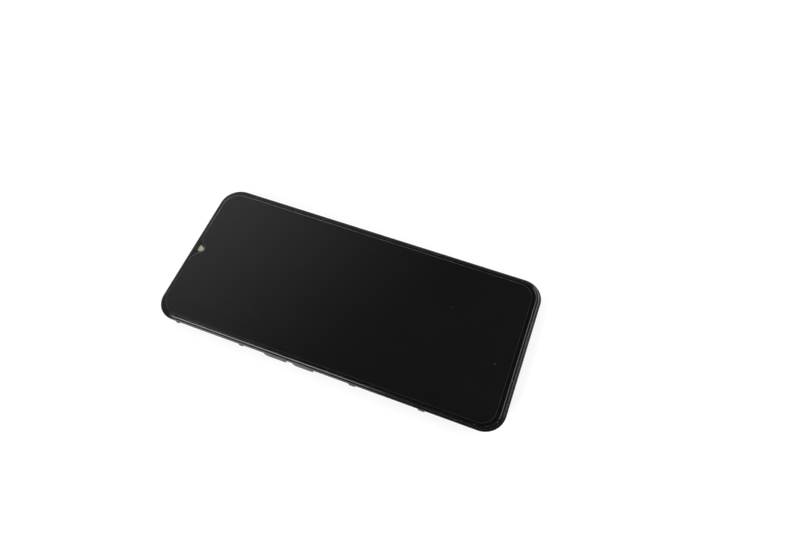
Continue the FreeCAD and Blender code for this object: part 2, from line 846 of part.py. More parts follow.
def boss_places():
    """Places of the screw bosses."""
    rows = [half_length - from_end for from_end in bosses_from_end]
    rows += [-half_length + from_chin for from_chin in bosses_from_chin]
    return [(side * boss_x, y) for y in rows for side in (-1, 1)]


def pocket(centre_x, centre_y, size_x, size_y):
    """Low wall round a component's place on the floor."""
    outer = rectangle_plan(centre_x, centre_y, size_x + 2 * pocket_wall, size_y + 2 * pocket_wall,
                           opening_radius + pocket_wall)
    inner = rectangle_plan(centre_x, centre_y, size_x, size_y, opening_radius)
    return layer(outer.cut(inner), plate_bottom, floor_bottom + pocket_wall_height)


def receiver_y():
    """Middle of the earpiece's pocket."""
    return half_length - skirt_inset - skirt_thickness - pocket_wall - receiver_length / 2


def speaker_y():
    """Middle of the loudspeaker's pocket."""
    return -half_length + skirt_inset + skirt_thickness + pocket_wall + speaker_length / 2


def rim_frame(plate):
    """Moulded frame: rail, glass seat, skirt with hooks and tabs, floors, walls and bosses."""
    inside = inset_plan(skirt_inset + skirt_thickness / 2)
    top_half = rectangle_plan(0, bay_top_y + half_length / 2, body_width, half_length)
    chin_half = rectangle_plan(0, bay_chin_y - half_length / 2, body_width, half_length)
    solids = [layer(inside.common(top_half), plate_bottom, floor_bottom),
              layer(inside.common(chin_half), plate_bottom, floor_bottom)]
    reach = half_width - skirt_inset - skirt_thickness / 2
    solids.append(wall(-reach, reach, bay_top_y, bay_top_y + bay_wall_thickness, assembly_height))
    solids.append(wall(-reach, reach, bay_chin_y - bay_wall_thickness, bay_chin_y, assembly_height))
    for side in (-1, 1):
        near, far = sorted((side * bay_wall_x, side * (bay_wall_x + bay_wall_thickness)))
        solids.append(wall(near, far, bay_chin_y, bay_top_y, bay_wall_depth))
    for x, y in boss_places():
        solids.append(layer(disc_plan(x, y, boss_radius), plate_bottom, assembly_height))
        toward = math.copysign(reach, x)
        x_low, x_high = sorted((x, toward))
        solids.append(wall(x_low, x_high, y - boss_rib_width / 2, y + boss_rib_width / 2,
                           assembly_height - boss_rib_short))
    centre_y = camera_opening_top - camera_opening_length / 2
    solids.append(pocket(0, centre_y, camera_opening_width, camera_opening_length))
    solids.append(pocket(receiver_x, receiver_y(), receiver_width, receiver_length))
    solids.append(pocket(speaker_x, speaker_y(), speaker_width, speaker_length))
    for width, angle, x, y in hook_places():
        solids.append(place_on_side(hook(width), angle, x, y))
    for width, share in zip(key_tab_widths, key_tab_shares):
        middle = share * half_length
        solids.append(key_tab(middle - width / 2, middle + width / 2))
    body = rim_ring().multiFuse(solids)
    body = body.common(layer(inset_plan(0), 0, assembly_height))

    pocket_plan = window_plan(pocket_x, pocket_chin, pocket_top, panel_lap + panel_gap)
    cutters = [layer(glass_plan(-glass_side_gap), 0, seat_depth), layer(pocket_plan, 0, plate_top), plate,
               fold_recess(), earpiece_channel(), camera_opening(seat_depth, assembly_height),
               flex_slot(plate_top, floor_bottom, flex_slot_relief)]
    for x, y in boss_places():
        bore_end = assembly_height - insert_sink - insert_length - boss_relief
        cutters.append(layer(disc_plan(x, y, insert_radius), bore_end, assembly_height))
    for width, angle, x, y in hook_places():
        for cutter in hook_slits(width):
            cutters.append(place_on_side(cutter, angle, x, y))
    cutters.append(box_layer(0, -half_length + skirt_inset + skirt_thickness / 2, port_width,
                             2 * skirt_thickness, port_depth, assembly_height))
    cutters.append(box_layer(0, bay_chin_y, flex_gate_width, 4 * bay_wall_thickness, floor_bottom,
                             floor_bottom + flex_gate_height))
    gap_end = half_length + skirt_thickness
    cutters.append(box_layer(0, (camera_opening_top + gap_end) / 2, camera_opening_width + 2 * pocket_wall,
                             gap_end - camera_opening_top, rail_bottom_depth, assembly_height))
    for side in (-1, 1):
        cutters.append(box_layer(side * window_x, window_y, window_width, window_length, plate_bottom,
                                 floor_bottom, opening_radius))
    body = body.cut(cutters)
    for x, y in rivet_places():
        body = body.fuse(layer(disc_plan(x, y, rivet_radius), plate_top, plate_bottom + floor_thickness / 2))
    return one_solid(body)


def threaded_inserts():
    """Brass inserts pressed into the bosses."""
    low = assembly_height - insert_sink
    bodies = []
    for x, y in boss_places():
        sleeve = disc_plan(x, y, insert_radius).cut(disc_plan(x, y, insert_bore_radius))
        bodies.append(layer(sleeve, low - insert_length, low))
    return Part.makeCompound(bodies)


def camera_gasket():
    """Foam frame on the floor round the camera opening."""
    centre_y = camera_opening_top - camera_opening_length / 2
    inner_x = camera_opening_width + 2 * (pocket_wall + gasket_gap)
    inner_y = camera_opening_length + 2 * (pocket_wall + gasket_gap)
    outer = rectangle_plan(0, centre_y, inner_x + 2 * gasket_width, inner_y + 2 * gasket_width,
                           opening_radius)
    inner = rectangle_plan(0, centre_y, inner_x, inner_y, opening_radius)
    limit = inset_plan(skirt_inset + skirt_thickness)
    return one_solid(layer(outer.cut(inner).common(limit), floor_bottom, floor_bottom + gasket_thickness))


def heat_film():
    """Graphite film on the plate in the battery bay."""
    length = bay_top_y - bay_chin_y - 2 * heat_film_margin
    centre_y = (bay_top_y + bay_chin_y) / 2
    width = 2 * (bay_wall_x - heat_film_margin)
    film_bottom = plate_bottom + heat_film_thickness
    return box_layer(0, centre_y, width, length, plate_bottom, film_bottom, heat_film_radius)


def ground_pads():
    """Conductive foam pads on the plate, in the floor's windows."""
    pads = []
    for side in (-1, 1):
        for offset in (-1, 1):
            x = side * window_x + offset * window_width / 4
            pads.append(box_layer(x, window_y, ground_pad_width, ground_pad_length, plate_bottom,
                                  plate_bottom + ground_pad_height))
    return Part.makeCompound(pads)


def build():
    """Make every piece and return it by its node's name."""
    printed = border_print()
    plate = mid_plate()
    led_strip = led_flex()
    flex = display_flex()
    filter_plan = panel_plan(panel_lap, window_chin - panel_lap)
    polariser_plan = panel_plan(polariser_lap, window_chin - polariser_lap)
    guide_plan = film_plan(films_chin + film_gap)
    nodes = {
        "cover_glass": cover_glass(),
        "border_print": printed,
        "glass_seat_tape": seat_tape(),
        "optical_adhesive": optical_adhesive(printed),
        "upper_polariser": layer(polariser_plan, adhesive_bottom, polariser_bottom),
        "colour_filter_glass": layer(filter_plan, polariser_bottom, colour_filter_bottom),
        "tft_glass": layer(panel_plan(panel_lap, tft_chin), colour_filter_bottom, tft_bottom),
        "lower_polariser": layer(polariser_plan, tft_bottom, panel_bottom),
        "backlight_rim_tape": rim_tape(),
        "upper_prism_film": film(backlight_top, upper_prism_bottom),
        "lower_prism_film": film(upper_prism_bottom, lower_prism_bottom),
        "diffuser_film": film(lower_prism_bottom, diffuser_bottom),
        "light_guide_plate": layer(guide_plan, diffuser_bottom, light_guide_bottom),
        "reflector_film": film(light_guide_bottom, reflector_bottom),
        "backlight_leds": leds(),
        "backlight_led_flex": led_strip,
        "backlight_frame": backlight_frame(led_strip),
        "backlight_tray": backlight_tray(),
        "tray_foam_tape": tray_foam(),
        "display_flex": flex,
        "display_driver_chip": driver_chip(),
        "flex_capacitors": flex_capacitors(),
        "flex_connector": connector(),
        "connector_contacts": contacts(),
        "connector_stiffener": stiffener(),
        "flex_foam_tape": flex_foam(),
        "mid_plate": plate,
        "rim_frame": rim_frame(plate),
        "threaded_inserts": threaded_inserts(),
        "earpiece_mesh": earpiece_mesh(),
        "camera_gasket": camera_gasket(),
        "heat_film": heat_film(),
        "ground_pads": ground_pads(),
    }
    return nodes


def main():
    """Write each piece to its own file."""
    os.makedirs("parts", exist_ok=True)
    for name, shape in build().items():
        if not shape.isValid():
            raise ValueError("%s is not valid" % name)
        shape.exportStep("parts/%s.step" % name)
        box = shape.BoundBox
        print("%-22s solids %d volume %.3f" % (name, len(shape.Solids), shape.Volume))
        print("    z %.2f to %.2f" % (box.ZMin, box.ZMax))


main()
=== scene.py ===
"""Looks of a phone LCD screen assembly that lies on its back, glass up.

Metres, in the frame of the solids: +Z leaves the cover glass and +Y points to the camera end.
"""

import json
import logging
import math
from collections.abc import Callable
from dataclasses import dataclass
from enum import Enum, IntEnum

import bpy
from mathutils import Matrix, Vector


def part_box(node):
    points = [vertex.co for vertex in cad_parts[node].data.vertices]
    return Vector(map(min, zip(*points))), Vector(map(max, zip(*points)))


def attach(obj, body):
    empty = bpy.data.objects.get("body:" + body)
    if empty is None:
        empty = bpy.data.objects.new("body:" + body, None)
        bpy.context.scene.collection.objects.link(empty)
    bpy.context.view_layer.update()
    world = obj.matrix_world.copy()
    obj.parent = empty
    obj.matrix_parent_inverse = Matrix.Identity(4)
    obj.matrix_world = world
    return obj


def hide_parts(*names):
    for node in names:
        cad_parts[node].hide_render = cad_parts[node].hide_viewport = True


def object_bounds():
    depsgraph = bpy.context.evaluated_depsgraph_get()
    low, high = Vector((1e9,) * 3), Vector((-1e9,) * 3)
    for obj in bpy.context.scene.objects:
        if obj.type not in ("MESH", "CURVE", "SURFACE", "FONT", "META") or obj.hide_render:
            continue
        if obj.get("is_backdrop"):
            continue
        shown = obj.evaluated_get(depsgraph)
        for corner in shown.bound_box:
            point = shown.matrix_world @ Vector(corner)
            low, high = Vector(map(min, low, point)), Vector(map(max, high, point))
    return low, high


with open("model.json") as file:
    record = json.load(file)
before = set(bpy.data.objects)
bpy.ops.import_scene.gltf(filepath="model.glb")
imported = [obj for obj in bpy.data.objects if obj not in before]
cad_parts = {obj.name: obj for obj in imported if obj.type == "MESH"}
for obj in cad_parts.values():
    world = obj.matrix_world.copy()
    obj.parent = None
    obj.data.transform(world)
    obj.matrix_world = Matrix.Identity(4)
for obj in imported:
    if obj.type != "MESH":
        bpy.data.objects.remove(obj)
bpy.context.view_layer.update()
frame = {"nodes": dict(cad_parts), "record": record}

LOG = logging.getLogger("screen_assembly")
MM = 0.001
BODY = "root"
IMAGE_WIDTH_PX = 800
FULL_TURN = 2 * math.pi
# Spans of a noise pattern, whose values lie mostly near 0.5: the nearer the ends, the clearer the patches.
SOFT_SPAN = (0.3, 0.7)
CLEAR_SPAN = (0.35, 0.65)
FULL_SPAN = (0.0, 1.0)
# Radius at which a speck of dust is at its full strength, as a share of its own radius.
SPECK_CORE = 0.6
# In a copied solid, points nearer than this are one, and faces that meet below this angle are one flat face.
MERGE_GAP = 0.0005 * MM
FLAT_ANGLE = math.radians(0.5)

Socket = bpy.types.NodeSocket
Tree = bpy.types.NodeTree
Node = bpy.types.Node


def linear(hex_colour: str) -> tuple[float, float, float, float]:
    """Turn an sRGB hex colour to linear RGBA.

    Args:
        hex_colour: Colour as "#rrggbb".

    Returns:
        Linear red, green, blue and an alpha of 1.
    """
    channels = []
    for start in (1, 3, 5):
        value = int(hex_colour[start:start + 2], 16) / 255
        channels.append(value / 12.92 if value <= 0.04045 else ((value + 0.055) / 1.055) ** 2.4)
    return (*channels, 1.0)


def add_node(tree: Tree, kind: str, inputs: dict | None = None, **settings: object) -> Node:
    """Add one node with its settings, values and links.

    Args:
        tree: Node tree that takes the node.
        kind: Blender's name for the kind of node.
        inputs: Value or linked socket for each input, by the input's name or number.
        **settings: Properties of the node itself.

    Returns:
        The new node.
    """
    node = tree.nodes.new(kind)
    for name, value in settings.items():
        setattr(node, name, value)
    for key, value in (inputs or {}).items():
        if isinstance(value, bpy.types.NodeSocket):
            tree.links.new(value, node.inputs[key])
        else:
            node.inputs[key].default_value = value
    return node


def colour_ramp(tree: Tree, factor: Socket, span: tuple[float, float], colours: tuple[str, str]) -> Socket:
    """Mix two colours by a factor that runs over a span.

    Args:
        tree: Node tree that takes the node.
        factor: Socket with the pattern.
        span: Values of the pattern at which each colour is reached.
        colours: Two sRGB hex colours.

    Returns:
        Socket with the colour.
    """
    ramp = add_node(tree, "ShaderNodeValToRGB", {"Fac": factor})
    for element, position, colour in zip(ramp.color_ramp.elements, span, colours):
        element.position = position
        element.color = linear(colour)
    return ramp.outputs["Color"]


@dataclass(frozen=True)
class Finish:
    """A surface as its maker names it, with the values that hold all over it."""

    name: str
    colour: str
    roughness: float
    metallic: float = 0.0
    ior: float = 1.5
    transmission: float = 0.0
    specular: float = 0.5

    def build(self) -> bpy.types.Material:
        """Make the material: the plain shader first, then the detail of its kind."""
        material = bpy.data.materials.new(self.name)
        material.use_nodes = True
        tree = material.node_tree
        surface = tree.nodes["Principled BSDF"]
        values = {"Base Color": linear(self.colour), "Roughness": self.roughness,
                  "Metallic": self.metallic, "IOR": self.ior,
                  "Transmission Weight": self.transmission, "Specular IOR Level": self.specular}
        for socket, value in values.items():
            surface.inputs[socket].default_value = value
        self.detail(tree, surface)
        return material

    def detail(self, tree: Tree, surface: Node) -> None:
        """Add what the surface shows from near; each kind of finish has its own."""

    def place(self, tree: Tree, stretch: tuple[float, float, float] = (1, 1, 1)) -> Socket:
        """Give the piece's own coordinates, stretched along its axes.

        Args:
            tree: Node tree that takes the nodes.
            stretch: Factor on each axis: below 1 draws a pattern out along that axis.

        Returns:
            Socket with the coordinates in metres.
        """
        coords = add_node(tree, "ShaderNodeTexCoord")
        mapping = add_node(tree, "ShaderNodeMapping", {"Vector": coords.outputs["Object"], "Scale": stretch})
        return mapping.outputs["Vector"]

    def noise(self, tree: Tree, place: Socket, size: float, detail: float = 2.0) -> Socket:
        """Noise whose patches are about the given size.

        Args:
            tree: Node tree that takes the node.
            place: Coordinates.
            size: Size of a patch in metres.
            detail: Number of finer layers.

        Returns:
            Socket with the noise, about 0.5 on average.
        """
        noise = add_node(tree, "ShaderNodeTexNoise", {"Vector": place, "Scale": 1 / size, "Detail": detail})
        return noise.outputs["Fac"]

    def ranged(self, tree: Tree, factor: Socket, span: tuple[float, float],
               values: tuple[float, float]) -> Socket:
        """Turn a span of a pattern into a span of values.

        Args:
            tree: Node tree that takes the node.
            factor: Socket with the pattern.
            span: Pattern's values at the two ends.
            values: Result at the two ends.

        Returns:
            Socket with the result.
        """
        node = add_node(tree, "ShaderNodeMapRange",
                        {"Value": factor, "From Min": span[0], "From Max": span[1],
                         "To Min": values[0], "To Max": values[1]})
        return node.outputs["Result"]

    def specks(self, tree: Tree, place: Socket, cell: float, radius: float, level: float) -> Socket:
        """Scatter round specks with a soft rim, at most one in each cell.

        Args:
            tree: Node tree that takes the nodes.
            place: Coordinates.
            cell: Usual distance between specks in metres.
            radius: Radius of a speck as a share of the cell.
            level: Value inside a speck; outside it is 0.

        Returns:
            Socket with the value.
        """
        cells = add_node(tree, "ShaderNodeTexVoronoi", {"Vector": place, "Scale": 1 / cell})
        return self.ranged(tree, cells.outputs["Distance"], (radius, radius * SPECK_CORE), (0, level))

    def paint(self, tree: Tree, surface: Node, pattern: Socket, span: tuple[float, float],
              colours: tuple[str, str]) -> None:
        """Colour the surface by a pattern.

        Args:
            tree: Node tree that takes the node.
            surface: Shader that takes the colour.
            pattern: Socket with the pattern.
            span: Values of the pattern at which each colour is reached.
            colours: Two sRGB hex colours.
        """
        tree.links.new(colour_ramp(tree, pattern, span, colours), surface.inputs["Base Color"])

    def dull(self, tree: Tree, surface: Node, pattern: Socket, span: tuple[float, float],
             change: tuple[float, float]) -> None:
        """Vary the roughness by a pattern.

        Args:
            tree: Node tree that takes the node.
            surface: Shader that takes the roughness.
            pattern: Socket with the pattern.
            span: Pattern's values at the two ends.
            change: What is added to the finish's roughness at the two ends.
        """
        values = (self.roughness + change[0], self.roughness + change[1])
        tree.links.new(self.ranged(tree, pattern, span, values), surface.inputs["Roughness"])

    def relief(self, tree: Tree, surface: Node, height: Socket, depth: float, strength: float) -> None:
        """Raise and sink the surface by a pattern.

        Args:
            tree: Node tree that takes the node.
            surface: Shader whose normal is bent.
            height: Pattern from 0 to 1.
            depth: Height of the relief in metres.
            strength: Share of the relief that shows.
        """
        bump = add_node(tree, "ShaderNodeBump", {"Height": height, "Distance": depth, "Strength": strength})
        tree.links.new(bump.outputs["Normal"], surface.inputs["Normal"])


@dataclass(frozen=True)
class Moulded(Finish):
    """Injection-moulded plastic: an even spark-eroded grain and faint flow shading."""

    shade: str = "#202022"
    # The real grain is about 0.05 mm, and is drawn coarser so that it shows.
    grain: float = 0.35 * MM
    grain_layers: float = 3.0
    grain_depth: float = 0.01 * MM
    grain_strength: float = 0.5
    grain_gloss: float = 0.06
    flow: float = 14 * MM

    def detail(self, tree: Tree, surface: Node) -> None:
        """Shade by slow flow marks, and roughen by the mould's grain."""
        place = self.place(tree)
        flow = self.noise(tree, place, self.flow)
        self.paint(tree, surface, flow, CLEAR_SPAN, (self.colour, self.shade))
        grain = self.noise(tree, place, self.grain, self.grain_layers)
        self.dull(tree, surface, grain, SOFT_SPAN, (-self.grain_gloss, self.grain_gloss))
        self.relief(tree, surface, grain, self.grain_depth, self.grain_strength)


@dataclass(frozen=True)
class Lacquered(Finish):
    """Sprayed lacquer over plastic: a slight orange peel, handled patches and specks of dust."""

    dust: str = "#8a8a88"
    dust_cell: float = 2.6 * MM
    dust_radius: float = 0.07
    peel: float = 0.9 * MM
    peel_layers: float = 1.0
    peel_depth: float = 0.002 * MM
    peel_strength: float = 0.6
    patch: float = 5 * MM
    patch_gloss: tuple[float, float] = (-0.03, 0.04)

    def detail(self, tree: Tree, surface: Node) -> None:
        """Bend the gloss by the peel, vary it in patches, and scatter a few pale specks."""
        place = self.place(tree)
        peel = self.noise(tree, place, self.peel, self.peel_layers)
        self.relief(tree, surface, peel, self.peel_depth, self.peel_strength)
        speck = self.specks(tree, place, self.dust_cell, self.dust_radius, 1.0)
        self.paint(tree, surface, speck, FULL_SPAN, (self.colour, self.dust))
        self.dull(tree, surface, self.noise(tree, place, self.patch), SOFT_SPAN, self.patch_gloss)


@dataclass(frozen=True)
class Polished(Finish):
    """Polished glass: clear, with faint smudges where it was handled and a few specks of dust."""

    smudge: float = 16 * MM
    smudge_layers: float = 4.0
    smudge_span: tuple[float, float] = (0.5, 0.72)
    smudge_roughness: float = 0.05
    dust_cell: float = 5.5 * MM
    dust_radius: float = 0.018
    dust_roughness: float = 0.55

    def detail(self, tree: Tree, surface: Node) -> None:
        """Dull the gloss a little in smudges, and strongly at the specks."""
        place = self.place(tree)
        smudge = self.ranged(tree, self.noise(tree, place, self.smudge, self.smudge_layers),
                             self.smudge_span, (self.roughness, self.smudge_roughness))
        speck = self.specks(tree, place, self.dust_cell, self.dust_radius, self.dust_roughness)
        both = add_node(tree, "ShaderNodeMath", {0: smudge, 1: speck}, operation="MAXIMUM")
        tree.links.new(both.outputs["Value"], surface.inputs["Roughness"])


@dataclass(frozen=True)
class SatinFilm(Finish):
    """Optical film, print or ground face: an even satin with a very fine sparkle."""

    shade: str = "#0d0e10"
    cloud: float = 22 * MM
    # The real sparkle is about 0.03 mm, and is drawn coarser so that it shows.
    sparkle: float = 0.3 * MM
    sparkle_layers: float = 1.0
    sparkle_gloss: float = 0.02

    def detail(self, tree: Tree, surface: Node) -> None:
        """Vary tone and gloss a little over the sheet."""
        place = self.place(tree)
        cloud = self.noise(tree, place, self.cloud)
        self.paint(tree, surface, cloud, CLEAR_SPAN, (self.colour, self.shade))
        grain = self.noise(tree, place, self.sparkle, self.sparkle_layers)
        self.dull(tree, surface, grain, SOFT_SPAN, (-self.sparkle_gloss, self.sparkle_gloss))


@dataclass(frozen=True)
class CutStripWithPaintedLight(SatinFilm):
    """Narrow milky cut edge round the window; painted light pales it toward the camera end on the right."""

    # Painted light: the tone of the strip at its most lit corner.
    pale: str = "#969593"
    reach: tuple[float, float] = (35.0 * MM, 81.0 * MM)
    shares: tuple[float, float] = (0.7, 0.3)
    painted_light_span: tuple[float, float] = (0.65, 1.0)

    def detail(self, tree: Tree, surface: Node) -> None:
        """Paint light on the strip: lighten it along X and Y toward its palest corner."""
        slopes = Vector((self.shares[0] / self.reach[0], self.shares[1] / self.reach[1], 0))
        along = add_node(tree, "ShaderNodeVectorMath", {0: self.place(tree), 1: slopes},
                         operation="DOT_PRODUCT")
        share = self.ranged(tree, along.outputs["Value"], (-1, 1), (0, 1))
        self.paint(tree, surface, share, self.painted_light_span, (self.colour, self.pale))


@dataclass(frozen=True)
class Rolled(Finish):
    """Rolled metal sheet: fine streaks along the way that it was rolled."""

    shade: str = "#8f9194"
    # Real streaks are about 0.05 mm wide, and are drawn wider so that they show.
    streak: float = 0.25 * MM
    streak_layers: float = 3.0
    streak_length: float = 60.0
    streak_depth: float = 0.003 * MM
    streak_strength: float = 0.4
    streak_gloss: float = 0.08

    def detail(self, tree: Tree, surface: Node) -> None:
        """Draw the streaks out along Y in tone, gloss and relief."""
        place = self.place(tree, (1, 1 / self.streak_length, 1))
        streaks = self.noise(tree, place, self.streak, self.streak_layers)
        self.paint(tree, surface, streaks, SOFT_SPAN, (self.colour, self.shade))
        self.dull(tree, surface, streaks, SOFT_SPAN, (-self.streak_gloss, self.streak_gloss))
        self.relief(tree, surface, streaks, self.streak_depth, self.streak_strength)


@dataclass(frozen=True)
class Machined(Finish):
    """Turned or plated small metal: bright, with tool marks and a little tarnish."""

    mark: float = 0.12 * MM
    mark_stretch: tuple[float, float, float] = (1, 1, 4)
    mark_depth: float = 0.002 * MM
    mark_strength: float = 0.5
    tarnish: str = "#8a6a35"
    tarnish_patch: float = 1.5 * MM
    tarnish_layers: float = 3.0
    tarnish_span: tuple[float, float] = (0.45, 0.75)
    dull_span: tuple[float, float] = (0.4, 0.7)
    dulling: float = 0.15

    def detail(self, tree: Tree, surface: Node) -> None:
        """Mark the metal by fine tool lines and dull it in patches."""
        marks = self.noise(tree, self.place(tree, self.mark_stretch), self.mark)
        self.relief(tree, surface, marks, self.mark_depth, self.mark_strength)
        patches = self.noise(tree, self.place(tree), self.tarnish_patch, self.tarnish_layers)
        self.paint(tree, surface, patches, self.tarnish_span, (self.colour, self.tarnish))
        self.dull(tree, surface, patches, self.dull_span, (0.0, self.dulling))


@dataclass(frozen=True)
class CircuitFilm(Finish):
    """Flexible circuit: copper tracks that show through an amber film."""

    track: str = "#7a3c12"
    # Real tracks are about 0.1 mm apart, and are drawn wider so that they show.
    pitch: float = 0.5 * MM
    track_share: float = 0.55
    track_foot: float = 0.8
    track_depth: float = 0.02 * MM
    track_strength: float = 0.6
    sway: float = 5 * MM
    sway_stretch: tuple[float, float, float] = (0.1, 1, 1)
    sway_pitches: float = 2.0

    def detail(self, tree: Tree, surface: Node) -> None:
        """Run tracks along Y, raised under the film, with gaps between them."""
        place = self.place(tree)
        split = add_node(tree, "ShaderNodeSeparateXYZ", {"Vector": place})
        sway = self.noise(tree, self.place(tree, self.sway_stretch), self.sway, 0.0)
        shift = add_node(tree, "ShaderNodeMath",
                         {0: sway, 1: self.sway_pitches * self.pitch, 2: split.outputs["X"]},
                         operation="MULTIPLY_ADD")
        saw = add_node(tree, "ShaderNodeMath", {0: shift.outputs["Value"], 1: self.pitch / 2},
                       operation="PINGPONG")
        gap = (1 - self.track_share) * self.pitch / 2
        level = self.ranged(tree, saw.outputs["Value"], (gap * self.track_foot, gap), (0, 1))
        self.paint(tree, surface, level, FULL_SPAN, (self.colour, self.track))
        self.relief(tree, surface, level, self.track_depth, self.track_strength)


@dataclass(frozen=True)
class Woven(Finish):
    """Fine plain weave of metal or coated thread."""

    shade: str = "#2b2a28"
    pitch: float = 0.2 * MM
    depth: float = 0.03 * MM
    strength: float = 0.8
    crown_span: tuple[float, float] = (0.2, 0.8)

    def detail(self, tree: Tree, surface: Node) -> None:
        """Cross two sets of threads, light on their crowns and dark between."""
        place = self.place(tree)
        split = add_node(tree, "ShaderNodeSeparateXYZ", {"Vector": place})
        waves = []
        for axis in ("X", "Y"):
            turn = add_node(tree, "ShaderNodeMath", {0: split.outputs[axis], 1: FULL_TURN / self.pitch},
                            operation="MULTIPLY")
            wave = add_node(tree, "ShaderNodeMath", {0: turn.outputs["Value"]}, operation="SINE")
            waves.append(wave.outputs["Value"])
        crossed = add_node(tree, "ShaderNodeMath", {0: waves[0], 1: waves[1]}, operation="MULTIPLY")
        crown = self.ranged(tree, crossed.outputs["Value"], (-1, 1), (0, 1))
        self.paint(tree, surface, crown, self.crown_span, (self.shade, self.colour))
        self.relief(tree, surface, crown, self.depth, self.strength)


@dataclass(frozen=True)
class Foamed(Finish):
    """Closed-cell foam or paper tape: small cells and a dull face."""

    shade: str = "#1c1c1c"
    cell: float = 0.25 * MM
    cell_span: tuple[float, float] = (0.1, 0.7)
    cell_depth: float = 0.03 * MM
    cell_strength: float = 0.7

    def detail(self, tree: Tree, surface: Node) -> None:
        """Dent the face by its cells."""
        cells = add_node(tree, "ShaderNodeTexVoronoi",
                         {"Vector": self.place(tree), "Scale": 1 / self.cell})
        self.paint(tree, surface, cells.outputs["Distance"], self.cell_span, (self.colour, self.shade))
        self.relief(tree, surface, cells.outputs["Distance"], self.cell_depth, self.cell_strength)


# Chemically strengthened cover glass with a thin coat against reflections: clear, with a quiet gloss.
COVER_GLASS = Polished("coated_aluminosilicate_glass", "#ffffff", 0.0,
                       ior=1.51, transmission=1.0, specular=0.2)
# Finely ground chamfer of the cover glass: dark satin, because the black print lies below it.
GROUND_EDGE = SatinFilm("fine_ground_glass_edge", "#08090a", 0.2, specular=0.2, shade="#0b0c0d")
# Screen-printed epoxy ink behind the glass: deep black.
SCREEN_INK = SatinFilm("screen_printed_black_ink", "#020202", 0.5, specular=0.01, shade="#030303")
# Stretched PVA film between cellulose sheets, with a light anti-glare coat: dark satin grey.
POLARISER = SatinFilm("satin_polariser_film", "#0b0c0e", 0.3, specular=0.05, shade="#0d0e10")
# Cut edge of the polariser and the clear adhesive on it: a thin milky line round the window.
# Painted light makes the line palest toward the camera end on the right.
FILM_EDGE = CutStripWithPaintedLight("milky_cut_film_edge_painted_light", "#333333", 0.4, specular=0.3)
# The same cut edge on the notch's left flank, where it is palest: a paler copy, a painted highlight.
FILM_NOTCH_PAINTED_HIGHLIGHT = SatinFilm("milky_cut_film_notch_painted_highlight", "#686764", 0.4, specular=0.3, shade="#6d6c69")
# Alkali-free float glass of the panel, cut and ground at its edges: clear, with a faint green.
PANEL_GLASS = Polished("cut_float_glass", "#c7d0cc", 0.05, ior=1.52, transmission=0.6)
# Acrylic prism and diffuser films with fine embossed faces: pearly white.
OPTICAL_FILM = SatinFilm("pearly_acrylic_film", "#d9dcde", 0.3, shade="#cfd3d6")
# Extruded acrylic light guide: glossy and slightly blue at its edges.
LIGHT_GUIDE = SatinFilm("clear_acrylic_sheet", "#d2dcdb", 0.12, ior=1.49, shade="#c8d4d2")
# Polycarbonate with titanium dioxide, moulded: an even warm white.
WHITE_PLASTIC = Moulded("white_moulded_polycarbonate", "#dedfda", 0.45, ior=1.58, shade="#d3d4ce")
# Lamp housing filled with phosphor in silicone: dull yellow.
LAMP = Moulded("phosphor_filled_lamp", "#dccb6a", 0.4, shade="#e3dcc0")
# Cold-rolled stainless steel, bright annealed: light grey with fine streaks.
TRAY_STEEL = Rolled("rolled_stainless_steel", "#a9abae", 0.3, metallic=1.0)
# Pressed aluminium sheet with a matt chemical film: pale and soft.
PLATE_METAL = Rolled("pressed_aluminium_sheet", "#b4b6b8", 0.42, metallic=1.0, shade="#a4a6a9",
                     streak=0.4 * MM)
# Acrylic foam and adhesive tape, coloured through: matt black with small cells.
BLACK_TAPE = Foamed("black_acrylic_foam_tape", "#0d0d0d", 0.8)
# Polyimide film laminated over etched copper: brown amber with paler tracks.
POLYIMIDE = CircuitFilm("polyimide_over_copper", "#43200a", 0.3, ior=1.6)
# Bare silicon with a ground and polished back: dark and mirror-like.
SILICON = SatinFilm("ground_silicon", "#3a3b40", 0.18, metallic=0.8, shade="#33343a")
# Sintered ceramic of the capacitors: dull brown.
CERAMIC = Moulded("sintered_ceramic", "#6e5a48", 0.5, shade="#7b6753", grain=0.15 * MM)
# Liquid crystal polymer of the connector, moulded: satin black.
CONNECTOR_PLASTIC = Moulded("black_liquid_crystal_polymer", "#141414", 0.5, shade="#191919",
                            grain=0.15 * MM)
# Bronze contacts plated with gold: bright yellow.
GOLD_PLATE = Machined("gold_plated_bronze", "#d9b35a", 0.25, metallic=1.0, tarnish="#c49a42")
# Brass inserts turned from bar: yellow with browner patches.
BRASS = Machined("turned_brass", "#c49a4e", 0.28, metallic=1.0)
# Glass-filled polycarbonate of the frame, moulded: matt black with a fine grain.
FRAME_PLASTIC = Moulded("black_moulded_polycarbonate", "#18181a", 0.55, ior=1.58, shade="#1c1c1e")
# Satin lacquer sprayed on the rail: deep black with soft, slightly wavy reflections.
RAIL_LACQUER = Lacquered("satin_black_lacquer", "#060607", 0.2, specular=0.14)
# The same lacquer on the bead, made lighter and glossier: a painted highlight in a thin line.
BEAD_LACQUER_PAINTED_HIGHLIGHT = Lacquered("black_lacquer_bead_painted_highlight", "#0b0b0d", 0.16, specular=0.4)
# Steel wire woven and blackened, of the earpiece: dark grey crowns on black.
MESH_WIRE = Woven("black_woven_steel_mesh", "#1b1b1b", 0.5, metallic=0.6, shade="#050505",
                  pitch=0.16 * MM)
# Rolled graphite sheet under clear film: grey-black with a soft metallic sheen.
GRAPHITE = Rolled("laminated_graphite_film", "#2b2c2e", 0.4, metallic=0.3, shade="#333437",
                  streak=0.6 * MM, streak_length=12.0)
# Polyester cloth plated with nickel, over the ground pads' foam: warm grey with a dull shine.
CONDUCTIVE_CLOTH = Woven("nickel_coated_cloth", "#9c958a", 0.45, metallic=0.8, shade="#5d564c")
